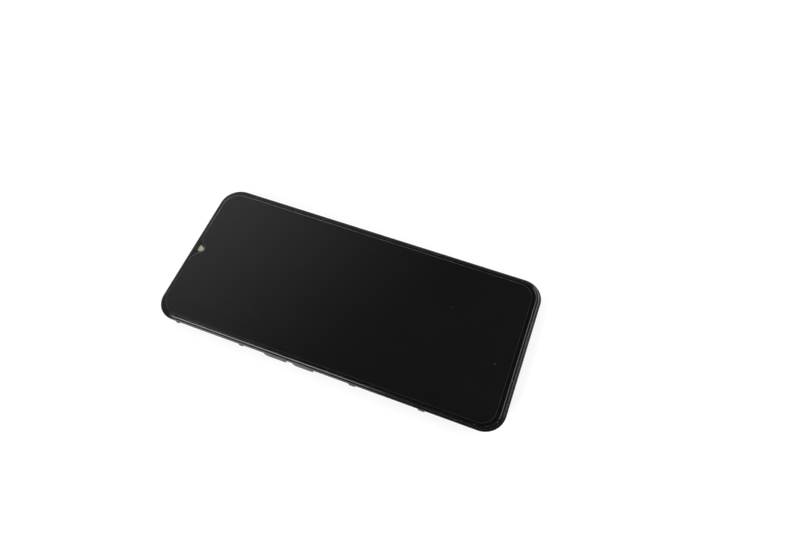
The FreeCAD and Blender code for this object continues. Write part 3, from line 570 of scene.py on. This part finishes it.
# Cast acrylic adhesive: clear, with a soft face.
CLEAR_ADHESIVE = SatinFilm("clear_acrylic_adhesive", "#dfe3e4", 0.2, ior=1.48, transmission=0.9,
                           shade="#d8dcde")

SLOT_FINISHES = {
    "cover_glass": COVER_GLASS, "border_ink": SCREEN_INK, "clear_adhesive": CLEAR_ADHESIVE,
    "polariser": POLARISER, "panel_glass": PANEL_GLASS, "optical_film": OPTICAL_FILM,
    "light_guide": LIGHT_GUIDE, "white_plastic": WHITE_PLASTIC, "lamp_body": LAMP,
    "tray_steel": TRAY_STEEL, "black_tape": BLACK_TAPE, "polyimide": POLYIMIDE, "silicon": SILICON,
    "capacitor": CERAMIC, "connector_plastic": CONNECTOR_PLASTIC, "contact_metal": GOLD_PLATE,
    "plate_metal": PLATE_METAL, "rim_plastic": FRAME_PLASTIC, "insert_brass": BRASS,
    "mesh_metal": MESH_WIRE, "graphite": GRAPHITE, "conductive_fabric": CONDUCTIVE_CLOTH,
}

MATERIALS: dict[str, bpy.types.Material] = {}


class Combination(Enum):
    """Ways of combining two closed meshes."""

    UNION = "UNION"
    CUT = "DIFFERENCE"


class FilmZone(IntEnum):
    """Zones of the polariser, in the order of its material slots."""

    EDGE = 0
    FACE = 1
    NOTCH = 2


def deselect_all() -> None:
    """Clear the selection, so that an operator reaches only what is selected next."""
    bpy.ops.object.select_all(action="DESELECT")


def activate(piece: bpy.types.Object) -> None:
    """Select one piece alone and make it active."""
    deselect_all()
    piece.select_set(True)
    bpy.context.view_layer.objects.active = piece


def select_faces(piece: bpy.types.Object, wanted: Callable[[bpy.types.MeshPolygon], bool]) -> None:
    """Select faces of the active piece in edit mode, by a test on each face.

    Args:
        piece: Piece in edit mode.
        wanted: Test that is true for the faces to select.
    """
    bpy.ops.mesh.select_mode(type="FACE")
    bpy.ops.mesh.select_all(action="DESELECT")
    bpy.ops.object.mode_set(mode="OBJECT")
    for polygon in piece.data.polygons:
        polygon.select = wanted(polygon)
    bpy.ops.object.mode_set(mode="EDIT")


def rounded_sheet(name: str, low: Vector, high: Vector, radius: float, segments: int) -> bpy.types.Object:
    """Add a flat rectangle with rounded corners and stay in edit mode with it selected.

    Args:
        name: Name of the new piece.
        low: Lowest corner; its Z is the sheet's height.
        high: Highest corner.
        radius: Radius of the corners.
        segments: Number of edges along each corner.

    Returns:
        The new piece.
    """
    deselect_all()
    middle = (low + high) / 2
    bpy.ops.mesh.primitive_plane_add(size=1, location=(middle.x, middle.y, low.z))
    piece = bpy.context.object
    piece.name = name
    piece.scale = (high.x - low.x, high.y - low.y, 1)
    bpy.ops.object.transform_apply(location=True, rotation=True, scale=True)
    bpy.ops.object.mode_set(mode="EDIT")
    bpy.ops.mesh.select_all(action="SELECT")
    bpy.ops.mesh.bevel(offset=radius, offset_type="OFFSET", segments=segments, affect="VERTICES", profile=0.5)
    bpy.ops.mesh.select_all(action="SELECT")
    return piece


def close_open_side() -> None:
    """Fill the open side of the piece in edit mode, turn its faces outwards and leave edit mode."""
    bpy.ops.mesh.select_mode(type="EDGE")
    bpy.ops.mesh.select_all(action="DESELECT")
    bpy.ops.mesh.select_non_manifold()
    bpy.ops.mesh.edge_face_add()
    bpy.ops.mesh.select_all(action="SELECT")
    bpy.ops.mesh.normals_make_consistent(inside=False)
    bpy.ops.object.mode_set(mode="OBJECT")


def combine(piece: bpy.types.Object, other: bpy.types.Object, way: Combination, crossing: bool) -> None:
    """Combine a piece with another one, which is used up.

    Args:
        piece: Piece that takes the result.
        other: Piece that is added or cut away.
        way: How the two are combined.
        crossing: Whether walls of the piece may cross each other.
    """
    activate(piece)
    step = piece.modifiers.new(way.name.lower(), "BOOLEAN")
    step.operation = way.value
    step.solver = "EXACT"
    step.use_self = crossing
    step.object = other
    bpy.ops.object.modifier_apply(modifier=step.name)
    bpy.data.objects.remove(other)


def merged_copy(node: str, name: str, smooth_degrees: float) -> bpy.types.Object:
    """Copy a solid's mesh, join its loose triangles and shade its curved faces smooth.

    Args:
        node: Name of the solid.
        name: Name of the new piece.
        smooth_degrees: Edges below this angle are shaded smooth.

    Returns:
        The new piece.
    """
    piece = bpy.data.objects.new(name, frame["nodes"][node].data.copy())
    bpy.context.scene.collection.objects.link(piece)
    activate(piece)
    bpy.ops.object.mode_set(mode="EDIT")
    bpy.ops.mesh.select_all(action="SELECT")
    bpy.ops.mesh.remove_doubles(threshold=MERGE_GAP)
    bpy.ops.mesh.customdata_custom_splitnormals_clear()
    bpy.ops.mesh.dissolve_limited(angle_limit=FLAT_ANGLE)
    bpy.ops.object.mode_set(mode="OBJECT")
    bpy.ops.object.shade_smooth_by_angle(angle=math.radians(smooth_degrees))
    return piece


def finish_piece(piece: bpy.types.Object, replaced: list[str], finishes: list[Finish]) -> None:
    """Dress a new piece and tie it to the frame.

    Args:
        piece: The new piece.
        replaced: Solids that the piece stands for.
        finishes: Finishes, one for each of the piece's material slots.
    """
    piece.data.materials.clear()
    for finish in finishes:
        piece.data.materials.append(MATERIALS[finish.name])
    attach(piece, BODY)
    if replaced:
        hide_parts(*replaced)
    LOG.info("%s: %d faces", piece.name, len(piece.data.polygons))


@dataclass
class CoverGlass:
    """Cover glass with a ground chamfer, one clear body with the adhesive below it."""

    edge_height: float = 0.1 * MM
    edge_width: float = 0.165 * MM
    corner_radius: float = 7.8 * MM
    corner_segments: int = 32
    ink_overlap: float = 0.02 * MM
    flat_margin: float = 0.03 * MM
    chamfer_tilt: tuple[float, float] = (0.5, 0.95)
    smooth_degrees: float = 20.0
    adhesive_smooth_degrees: float = 30.0

    def build(self) -> None:
        """Model the plate from its lower face up, join the adhesive to it and dress its chamfer."""
        low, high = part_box("cover_glass")
        start = low.z - self.ink_overlap
        plate = rounded_sheet("cover_glass_plate", Vector((low.x, low.y, start)),
                              Vector((high.x, high.y, start)), self.corner_radius, self.corner_segments)
        rise = high.z - self.edge_height - start
        bpy.ops.mesh.extrude_region_move(TRANSFORM_OT_translate={"value": (0, 0, rise)})
        bpy.ops.mesh.inset(thickness=self.edge_width, depth=self.edge_height, use_even_offset=True)
        bpy.ops.mesh.inset(thickness=self.flat_margin, depth=0, use_even_offset=True)
        close_open_side()
        self.join_adhesive(plate)
        bpy.ops.object.shade_smooth_by_angle(angle=math.radians(self.smooth_degrees))
        finish_piece(plate, ["cover_glass", "optical_adhesive"], [COVER_GLASS, GROUND_EDGE])
        for polygon in plate.data.polygons:
            polygon.material_index = int(self.chamfer_tilt[0] < polygon.normal.z < self.chamfer_tilt[1])

    def join_adhesive(self, plate: bpy.types.Object) -> None:
        """Unite the plate with the adhesive that fills the window below it."""
        adhesive = merged_copy("optical_adhesive", "adhesive_copy", self.adhesive_smooth_degrees)
        for vertex in adhesive.data.vertices:
            vertex.co.z -= self.ink_overlap
        combine(plate, adhesive, Combination.UNION, crossing=False)


@dataclass
class RailCoat:
    """Lacquer on the rail: a thin closed skin over the bead, the groove and the bulging side."""

    body_half_width: float = 37.75 * MM
    body_half_length: float = 82.8 * MM
    corner_radius: float = 9.7 * MM
    corner_segments: int = 32
    coat: float = 0.02 * MM
    thickness: float = 0.06 * MM
    face_height: float = 6.6 * MM
    bead_depth: float = 0.45 * MM
    bead_edge: float = 1.15 * MM
    groove_slope: float = 0.1 * MM
    groove_width: float = 0.3 * MM
    groove_depth: float = 0.17 * MM
    bulge_depth: float = 1.35 * MM
    tuck: float = 0.62 * MM
    bottom_depth: float = 3.05 * MM
    lip: float = 0.5 * MM
    glass_gap: float = 0.08 * MM
    bead_rise: float = 0.15 * MM
    bead_steps: int = 8
    inset_side: float = 1.9 * MM
    inset_top: float = 1.3 * MM
    inset_chin: float = 2.3 * MM
    arc_steps: int = 10
    seam_gap: float = 0.001 * MM
    edge_round: float = 0.05 * MM
    edge_segments: int = 3
    edge_degrees: float = 35.0
    smooth_degrees: float = 32.0
    slit_width: float = 11.0 * MM
    slit_height: float = 0.42 * MM
    slit_corner: float = 0.19 * MM
    slit_segments: int = 6

    def arc(self, inset: float, depth: float) -> list[tuple[float, float]]:
        """Points of the arc from the outermost line to a point, upright where it starts.

        Args:
            inset: The end's distance inside the outermost line.
            depth: The end's depth below the glass face.

        Returns:
            Inset and depth of each point after the start.
        """
        rise = depth - self.bulge_depth
        radius = (inset ** 2 + rise ** 2) / (2 * inset)
        sweep = math.atan2(abs(rise), radius - inset)
        side = math.copysign(1, rise)
        points = []
        for step in range(1, self.arc_steps + 1):
            turn = sweep * step / self.arc_steps
            points.append((radius * (1 - math.cos(turn)), self.bulge_depth + side * radius * math.sin(turn)))
        return points

    def bead(self) -> list[tuple[float, float]]:
        """Points of the bead's rounded back, from the groove to the glass."""
        start, end = self.bead_edge, self.inset_side - self.glass_gap
        points = []
        for step in range(1, self.bead_steps + 1):
            share = step / self.bead_steps
            rise = self.bead_rise * (1 - (2 * share - 1) ** 2)
            points.append((start + (end - start) * share, self.bead_depth - rise))
        return points

    def half_shell(self, name: str, points: list[tuple[float, float]]) -> bpy.types.Object:
        """Model one side of the rail, above or below its outermost line, by insets.

        Args:
            name: Name of the shell.
            points: Inset and depth of each line after the outermost one.

        Returns:
            The open shell, in edit mode, its innermost face selected.
        """
        height = self.face_height - self.bulge_depth
        reach = Vector((self.body_half_width + self.coat, self.body_half_length + self.coat, 0))
        level = Vector((0, 0, height))
        shell = rounded_sheet(name, level - reach, level + reach, self.corner_radius + self.coat,
                              self.corner_segments)
        past = (0.0, self.bulge_depth)
        for point in points:
            bpy.ops.mesh.inset(thickness=point[0] - past[0], depth=past[1] - point[1], use_even_offset=True)
            if past[0] >= self.bead_edge:
                self.follow_glass((point[0] - past[0]) / (self.inset_side - self.glass_gap - self.bead_edge))
            past = point
        return shell

    def build(self) -> None:
        """Model the upper and lower sides, join them, close the skin, open the earpiece slit and dress it."""
        groove_floor = self.bead_depth + self.groove_depth
        groove_out = self.bead_edge - self.groove_width
        upper_points = self.arc(groove_out, groove_floor)
        upper_points += [(self.bead_edge - self.groove_slope, groove_floor),
                         (self.bead_edge, self.bead_depth)]
        upper = self.half_shell("rail_lacquer", upper_points + self.bead())
        bpy.ops.mesh.extrude_region_move(TRANSFORM_OT_translate={"value": (0, 0, -self.groove_depth)})
        bpy.ops.mesh.delete(type="ONLY_FACE")
        bpy.ops.object.mode_set(mode="OBJECT")
        lower_points = self.arc(self.tuck, self.bottom_depth)
        lower_points.append((self.tuck + self.lip, self.bottom_depth))
        lower = self.half_shell("rail_lower", lower_points)
        bpy.ops.mesh.delete(type="ONLY_FACE")
        bpy.ops.object.mode_set(mode="OBJECT")
        activate(upper)
        lower.select_set(True)
        bpy.ops.object.join()
        self.close(upper)
        self.open_slit(upper)
        bpy.ops.object.shade_smooth_by_angle(angle=math.radians(self.smooth_degrees))
        finish_piece(upper, [], [RAIL_LACQUER, BEAD_LACQUER_PAINTED_HIGHLIGHT])
        # The bead takes the lighter, glossier copy of the lacquer: a painted highlight.
        bead_foot = self.face_height - self.bead_depth + self.coat
        for polygon in upper.data.polygons:
            polygon.material_index = int(polygon.center.z > bead_foot)

    def follow_glass(self, share: float) -> None:
        """Move one line of the bead with the glass, which is set in less at the top and more at the chin.

        Args:
            share: The line's share of the whole move.
        """
        piece = bpy.context.object
        side = self.inset_side
        for sign, shift in ((1, side - self.inset_top), (-1, side - self.inset_chin)):
            bpy.ops.object.mode_set(mode="OBJECT")
            inner = [v.index for v in piece.data.vertices if v.select and sign * v.co.y > 0]
            for index in inner:
                piece.data.vertices[index].co.y += sign * shift * share
            bpy.ops.object.mode_set(mode="EDIT")

    def close(self, shell: bpy.types.Object) -> None:
        """Join the two sides, round their sharp edges and give the skin its thickness."""
        bpy.ops.object.mode_set(mode="EDIT")
        bpy.ops.mesh.select_all(action="SELECT")
        bpy.ops.mesh.remove_doubles(threshold=self.seam_gap)
        bpy.ops.mesh.normals_make_consistent(inside=False)
        bpy.ops.object.mode_set(mode="OBJECT")
        rounding = shell.modifiers.new("rounding", "BEVEL")
        rounding.width = self.edge_round
        rounding.segments = self.edge_segments
        rounding.limit_method = "ANGLE"
        rounding.angle_limit = math.radians(self.edge_degrees)
        wall = shell.modifiers.new("wall", "SOLIDIFY")
        wall.thickness = self.thickness
        wall.offset = -1
        for modifier in (rounding, wall):
            bpy.ops.object.modifier_apply(modifier=modifier.name)

    def open_slit(self, shell: bpy.types.Object) -> None:
        """Cut the earpiece slit through the skin, whose walls cross where the bead is narrow."""
        top = self.body_half_length - self.inset_top + self.glass_gap
        reach = self.face_height
        low = Vector((-self.slit_width / 2, top - self.glass_gap, reach / 2))
        high = Vector((self.slit_width / 2, top + self.slit_height, reach / 2))
        cutter = rounded_sheet("slit_cutter", low, high, self.slit_corner, self.slit_segments)
        bpy.ops.mesh.extrude_region_move(TRANSFORM_OT_translate={"value": (0, 0, reach)})
        close_open_side()
        combine(shell, cutter, Combination.CUT, crossing=True)


@dataclass
class RimFrame:
    """Moulded frame: the solid itself, its curved faces shaded smooth."""

    smooth_degrees: float = 38.0

    def build(self) -> None:
        """Copy the solid and dress it in bare moulded plastic."""
        moulding = merged_copy("rim_frame", "rim_frame_moulding", self.smooth_degrees)
        finish_piece(moulding, ["rim_frame"], [FRAME_PLASTIC])


@dataclass
class PolariserFace:
    """Upper polariser, with its milky cut edge showing all round the window, lightened by painted light."""

    margin: float = 0.35 * MM
    notch_half_width: float = 9.0 * MM
    notch_low: float = 76.5 * MM
    level_gap: float = 0.001 * MM
    smooth_degrees: float = 30.0

    def build(self) -> None:
        """Copy the film, draw the edge round its upper face and give each zone its own tone."""
        sheet = merged_copy("upper_polariser", "polariser_sheet", self.smooth_degrees)
        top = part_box("upper_polariser")[1].z - self.level_gap
        bpy.ops.object.mode_set(mode="EDIT")
        select_faces(sheet, lambda polygon: polygon.center.z > top)
        bpy.ops.mesh.dissolve_faces()
        bpy.ops.mesh.inset(thickness=self.margin, depth=0, use_even_offset=True)
        bpy.ops.object.mode_set(mode="OBJECT")
        finish_piece(sheet, ["upper_polariser"], [FILM_EDGE, POLARISER, FILM_NOTCH_PAINTED_HIGHLIGHT])
        # Edge zones carry painted light; the notch's left flank gets a painted highlight.
        for polygon in sheet.data.polygons:
            place = polygon.center
            flank = -self.notch_half_width < place.x < 0 and place.y > self.notch_low
            polygon.material_index = FilmZone.NOTCH if flank and place.z > top else FilmZone.EDGE
        max(sheet.data.polygons, key=self.upper_area).material_index = FilmZone.FACE

    def upper_area(self, polygon: bpy.types.MeshPolygon) -> float:
        """Give a face's area if it looks up, and a negative area if it doesn't."""
        return polygon.area * polygon.normal.z


@dataclass(frozen=True)
class Softbox:
    """One soft lamp, by the way that it lies from the object."""

    name: str
    direction: tuple[float, float, float]
    distance: float
    width: float
    height: float
    radiance: float


@dataclass
class Studio:
    """Plain soft studio: lamps, dim surroundings, pale table and camera."""

    lamps: tuple[Softbox, ...] = (
        Softbox("window_left", (-0.9, 0.36, 0.29), 1.3, 0.55, 0.7, 24.0),
        Softbox("window_high_left", (-0.6, 0.52, 0.6), 1.3, 0.4, 0.3, 7.0),
        Softbox("window_behind", (0.5, 0.95, 0.35), 1.5, 1.2, 0.4, 3.0),
        Softbox("far_corner_light", (0.84, -0.48, 0.2), 1.3, 0.4, 0.3, 22.0),
        Softbox("chin_light", (0.4, -0.76, 0.4), 1.3, 1.15, 0.45, 11.0),
    )
    room_colour: str = "#ffffff"
    room_glow: float = 0.1
    window_glow: float = 1.6
    window_way: tuple[float, float, float] = (0.5, 0.8, 0.33)
    window_reach: tuple[float, float] = (0.6, 1.0)
    window_fall: float = 2.0
    table_size: float = 8.0
    table_drop: float = 0.02 * MM
    table_colour: str = "#ded8cc"
    table_glow: tuple[str, str] = ("#7d745c", "#dadada")
    table_lit: tuple[str, str] = ("#7c7975", "#a0a0a2")
    shade_middle: tuple[float, float, float] = (2.25 * MM, 1.65 * MM, 0.0)
    shade_reach: tuple[float, float, float] = (38.0 * MM, 83.65 * MM, 0.0)
    shade_corner: float = 9.7 * MM
    shade_width: float = 1.8 * MM
    focal_px: float = 650.6
    sensor_width: float = 36.0
    pixel_centre: float = 0.5
    azimuth: float = math.radians(-68.18)
    elevation: float = math.radians(60.51)
    roll: float = math.radians(-1.33)
    distance: float = 308.1 * MM
    target: tuple[float, float] = (23.49 * MM, -15.78 * MM)
    clip: tuple[float, float] = (0.01, 20.0)

    def build(self) -> None:
        """Set up everything round the object."""
        for lamp in self.lamps:
            self.add_lamp(lamp)
        self.add_surroundings()
        self.add_table()
        self.add_camera()

    def add_lamp(self, lamp: Softbox) -> None:
        """Hang one soft lamp that faces the object."""
        light = bpy.data.lights.new(lamp.name, "AREA")
        light.shape = "RECTANGLE"
        light.size = lamp.width
        light.size_y = lamp.height
        light.energy = lamp.radiance * math.pi * lamp.width * lamp.height
        holder = bpy.data.objects.new(lamp.name, light)
        toward = Vector(lamp.direction).normalized()
        holder.location = toward * lamp.distance
        holder.rotation_euler = toward.to_track_quat("Z", "Y").to_euler()
        holder.visible_camera = False
        bpy.context.scene.collection.objects.link(holder)

    def add_surroundings(self) -> None:
        """Fill the room with a dim grey that grows softly lighter toward the window."""
        world = bpy.data.worlds.new("dim_room")
        world.use_nodes = True
        tree = world.node_tree
        background = tree.nodes["Background"]
        background.inputs["Color"].default_value = linear(self.room_colour)
        way = add_node(tree, "ShaderNodeTexCoord")
        toward = add_node(tree, "ShaderNodeVectorMath",
                          {0: way.outputs["Generated"], 1: Vector(self.window_way).normalized()},
                          operation="DOT_PRODUCT")
        share = add_node(tree, "ShaderNodeMapRange",
                         {"Value": toward.outputs["Value"], "From Min": self.window_reach[0],
                          "From Max": self.window_reach[1]})
        soft = add_node(tree, "ShaderNodeMath", {0: share.outputs["Result"], 1: self.window_fall},
                        operation="POWER")
        glow = add_node(tree, "ShaderNodeMath",
                        {0: soft.outputs["Value"], 1: self.window_glow, 2: self.room_glow},
                        operation="MULTIPLY_ADD")
        tree.links.new(glow.outputs["Value"], background.inputs["Strength"])
        bpy.context.scene.world = world

    def add_table(self) -> None:
        """Lay the pale table: its glow and tones show to the camera and in gloss and glass.

        Other rays see a plain matt table, so that it lights the object at a plain level.
        """
        deselect_all()
        bpy.ops.mesh.primitive_plane_add(size=self.table_size, location=(0, 0, -self.table_drop))
        table = bpy.context.object
        table.name = "pale_table"
        material = bpy.data.materials.new("matt_white_table")
        material.use_nodes = True
        tree = material.node_tree
        tree.nodes.clear()
        plain = add_node(tree, "ShaderNodeBsdfDiffuse", {"Color": linear(self.table_colour)})
        glow = add_node(tree, "ShaderNodeEmission", {"Color": self.table_tone(tree, self.table_glow)})
        lit = add_node(tree, "ShaderNodeBsdfDiffuse", {"Color": self.table_tone(tree, self.table_lit)})
        shown = add_node(tree, "ShaderNodeAddShader", {0: glow.outputs[0], 1: lit.outputs[0]})
        rays = add_node(tree, "ShaderNodeLightPath")
        first = add_node(tree, "ShaderNodeMath",
                         {0: rays.outputs["Is Camera Ray"], 1: rays.outputs["Is Glossy Ray"]},
                         operation="MAXIMUM")
        seen = add_node(tree, "ShaderNodeMath",
                        {0: first.outputs[0], 1: rays.outputs["Is Transmission Ray"]},
                        operation="MAXIMUM")
        mix = add_node(tree, "ShaderNodeMixShader",
                       {0: seen.outputs[0], 1: plain.outputs[0], 2: shown.outputs[0]})
        add_node(tree, "ShaderNodeOutputMaterial", {"Surface": mix.outputs[0]})
        table.data.materials.append(material)
        table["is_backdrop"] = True

    def table_tone(self, tree: Tree, tones: tuple[str, str]) -> Socket:
        """Give the tone of the open table, which falls off to cream shade under the object.

        The shade is a rectangle with rounded corners: a point's distance past the straight
        part of its sides runs over the width of its soft rim.

        Args:
            tree: Node tree that takes the nodes.
            tones: Tone under the object and tone of the open table.

        Returns:
            Socket with the colour.
        """
        middle, corner = Vector(self.shade_middle), self.shade_corner
        inner = Vector(self.shade_reach) - Vector((corner, corner, 0))
        way = add_node(tree, "ShaderNodeTexCoord")
        place = way.outputs["Object"]
        for other, operation in ((middle, "SUBTRACT"), (None, "ABSOLUTE"), (inner, "SUBTRACT"),
                                 (Vector((0, 0, 0)), "MAXIMUM")):
            inputs = {0: place} if other is None else {0: place, 1: other}
            place = add_node(tree, "ShaderNodeVectorMath", inputs, operation=operation).outputs["Vector"]
        past = add_node(tree, "ShaderNodeVectorMath", {0: place}, operation="LENGTH")
        share = add_node(tree, "ShaderNodeMapRange",
                         {"Value": past.outputs["Value"], "From Min": corner - self.shade_width,
                          "From Max": corner})
        return colour_ramp(tree, share.outputs["Result"], FULL_SPAN, tones)

    def add_camera(self) -> None:
        """Put the camera where the photograph was taken from."""
        target = Vector((*self.target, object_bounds()[1][2]))
        back = Vector((math.sin(self.azimuth) * math.cos(self.elevation),
                       -math.cos(self.azimuth) * math.cos(self.elevation), math.sin(self.elevation)))
        level = Vector((math.cos(self.azimuth), math.sin(self.azimuth), 0))
        upright = back.cross(level)
        right = level * math.cos(self.roll) + upright * math.sin(self.roll)
        up = upright * math.cos(self.roll) - level * math.sin(self.roll)
        lens = bpy.data.cameras.new("photo_camera")
        lens.sensor_width = self.sensor_width
        lens.lens = lens.sensor_width * self.focal_px / IMAGE_WIDTH_PX
        lens.shift_x = -self.pixel_centre / IMAGE_WIDTH_PX
        lens.shift_y = self.pixel_centre / IMAGE_WIDTH_PX
        lens.clip_start, lens.clip_end = self.clip
        camera = bpy.data.objects.new("photo_camera", lens)
        axes = Matrix((right, up, back)).transposed().to_4x4()
        camera.matrix_world = Matrix.Translation(target + back * self.distance) @ axes
        bpy.context.scene.collection.objects.link(camera)
        bpy.context.scene.camera = camera


def dress_solids() -> None:
    """Give every solid the material of its slot in the record."""
    for part in frame["record"]["subparts"]:
        node = frame["nodes"][part["node"]]
        material = MATERIALS[SLOT_FINISHES[part["material_slot"]].name]
        if not node.data.materials:
            node.data.materials.append(material)
        for slot in node.material_slots:
            slot.material = material
        LOG.info("%s: %s", node.name, material.name)


def main() -> None:
    """Build the finishes, the pieces and the studio."""
    logging.basicConfig(level=logging.INFO, format="%(name)s: %(message)s")
    extra = (GROUND_EDGE, FILM_EDGE, FILM_NOTCH_PAINTED_HIGHLIGHT, RAIL_LACQUER, BEAD_LACQUER_PAINTED_HIGHLIGHT)
    for finish in dict.fromkeys((*SLOT_FINISHES.values(), *extra)):
        MATERIALS[finish.name] = finish.build()
    dress_solids()
    for assembly in (CoverGlass(), RailCoat(), RimFrame(), PolariserFace()):
        assembly.build()
    Studio().build()
    bpy.context.scene.view_settings.view_transform = "Standard"


if __name__ == "__main__":
    main()
